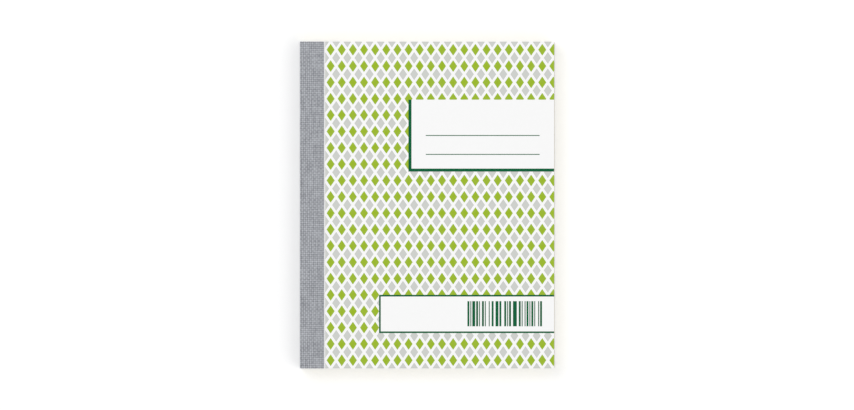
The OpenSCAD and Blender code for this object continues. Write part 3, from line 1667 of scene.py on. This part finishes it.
@dataclass(frozen=True)
class Lamp:
    """One soft lamp.

    Attributes:
        name: Its name.
        place: Where it hangs, in metres.
        size: Side of its square face.
        power: Its power in watts.
    """

    name: str
    place: tuple[float, float, float]
    size: float
    power: float

    def build(self) -> None:
        """Hangs the lamp and turns it to the book."""
        data = bpy.data.lights.new(self.name, "AREA")
        data.size = self.size
        data.energy = self.power
        lamp = new_piece(self.name, data)
        lamp.location = self.place
        lamp.rotation_euler = (-Vector(self.place)).to_track_quat("-Z", "Y").to_euler()


@dataclass(frozen=True)
class Studio:
    """Camera, white ground and plain soft light.

    Attributes:
        sizes: Places of the book's pieces.
        lens: Focal length in millimetres.
        sensor: Width of the sensor in millimetres.
        book_px: Width of the cover in the picture, in pixels.
        far: How far the camera sees, in metres.
        floor_half: Half the side of the floor.
        floor_drop: Distance of the floor below the book.
        floor_white: Colour of the floor.
        floor_glow: What the camera sees added to the floor, so that it is just white.
        floor_fade: Distances over which the floor turns plain white.
        sky: Level of the light from all round.
        lamps: The lamps.
    """

    sizes: BookSizes
    lens: float = 200.0
    sensor: float = 36.0
    book_px: float = 254.25
    far: float = 100.0
    floor_half: float = 6.0
    floor_drop: float = 0.1 * MM
    floor_white: Colour = srgb(250, 250, 250)
    floor_glow: float = 0.15
    floor_fade: tuple[float, float] = (0.25, 0.6)
    sky: float = 0.7
    lamps: tuple[Lamp, ...] = (
        Lamp("key", place=(-0.6, 0.55, 1.25), size=0.9, power=4.9),
        Lamp("fill", place=(0.7, -0.5, 1.1), size=0.9, power=2.6),
    )

    def camera(self) -> None:
        """Hangs the camera straight over the cover, head up."""
        data = bpy.data.cameras.new("camera")
        data.lens = self.lens
        data.sensor_width = self.sensor
        data.clip_end = self.far
        view_w = (self.sizes.fore_x - self.sizes.spine_x) * IMAGE_W / self.book_px
        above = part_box("front_cover")[1][2] + view_w * self.lens / self.sensor
        camera = new_piece("camera", data)
        camera.location = ((self.sizes.spine_x + self.sizes.fore_x) / 2, self.sizes.middle_y, above)
        bpy.context.scene.camera = camera

    @staticmethod
    def seen(graph: Graph) -> Socket:
        """Finds what the camera sees, also in gloss and through glass.

        Args:
            graph: The tree of the floor or the world.

        Returns:
            One for the rays that show it, and zero for the rest.
        """
        path = graph.node("ShaderNodeLightPath")
        names = ("Is Camera Ray", "Is Glossy Ray", "Is Transmission Ray")
        return graph.any_of(path.outputs[name] for name in names)

    def ground(self) -> bpy.types.Material:
        """Builds the white of the floor, which keeps the shadow near the book.

        Returns:
            The material.
        """
        graph = Graph.material("white_ground")
        paper = graph.feed("ShaderNodeBsdfDiffuse", Color=self.floor_white)
        glow = graph.feed("ShaderNodeEmission", Strength=self.floor_glow)
        white = graph.feed("ShaderNodeEmission", Strength=1.0)
        near = graph.fill(graph.node("ShaderNodeAddShader"), paper, glow)[0]
        length = graph.node("ShaderNodeVectorMath", operation="LENGTH")
        away = graph.fill(length, graph.place())["Value"]
        smooth = graph.node("ShaderNodeMapRange", interpolation_type="SMOOTHSTEP")
        fade = graph.fill(smooth, away, *self.floor_fade)[0]
        shown = graph.shade_mix(fade, near, white)
        graph.close(graph.shade_mix(self.seen(graph), paper, shown))
        return graph.owner

    def floor(self) -> None:
        """Lays the floor."""
        mesh = bmesh.new()
        bmesh.ops.create_grid(mesh, x_segments=1, y_segments=1, size=self.floor_half)
        bmesh.ops.translate(mesh, vec=(0, 0, -self.floor_drop), verts=mesh.verts[:])
        new_piece("floor", mesh_data("floor", mesh, self.ground()))

    def world(self) -> None:
        """Gives even light from all round, and white where the camera looks past the floor."""
        graph = Graph(bpy.data.worlds.new("studio"))
        light = graph.feed("ShaderNodeBackground", Color=WHITE, Strength=self.sky)
        white = graph.feed("ShaderNodeBackground", Color=WHITE, Strength=1.0)
        graph.close(graph.shade_mix(self.seen(graph), light, white))
        bpy.context.scene.world = graph.owner

    def build(self) -> None:
        """Sets up the whole studio."""
        bpy.context.scene.view_settings.view_transform = "Standard"
        self.camera()
        self.floor()
        self.world()
        for lamp in self.lamps:
            lamp.build()
        LOG.info("studio: %d lamps", len(self.lamps))


def leaves() -> list[Leaf]:
    """Lists the leaves from the back cover up.

    Returns:
        The two blocks and the loose sheets, each with what it turns on.
    """
    found, under = [], "binding"
    for block, number in BLOCKS:
        nodes = {SheetKind.TOP: f"{block}_top_sheets", SheetKind.COPY: f"{block}_copy_sheets"}
        found.append(Leaf(f"{block}_block", under, nodes, number, slit_shade=True))
        under = found[-1].body
    for number in range(SINGLE_SETS, 0, -1):
        for part, kind in (("copy", SheetKind.COPY), ("top", SheetKind.TOP)):
            body = f"set_{number}_{part}"
            found.append(Leaf(body, under, {kind: f"{body}_sheet"}, number))
            under = body
    return found


def main() -> None:
    """Builds and dresses the whole book, then the studio."""
    logging.basicConfig(level=logging.INFO, format="%(name)s: %(message)s")
    sizes = BookSizes.from_frame()
    Studio(sizes).build()
    finishes = Finishes.build(sizes)
    bars = BarRow()
    crease = Crease(bars, sizes)
    numbers = Numbering(sizes, finishes.number)
    slit_shades = SlitShadeRow(bars, sizes, finishes.slit)
    Binding(sizes, finishes).build()
    for leaf in leaves():
        leaf.build(crease, finishes, numbers, slit_shades)
    FrontCover(finishes).build(crease)
    WritingShield(finishes).build(crease)


if __name__ == "__main__":
    main()
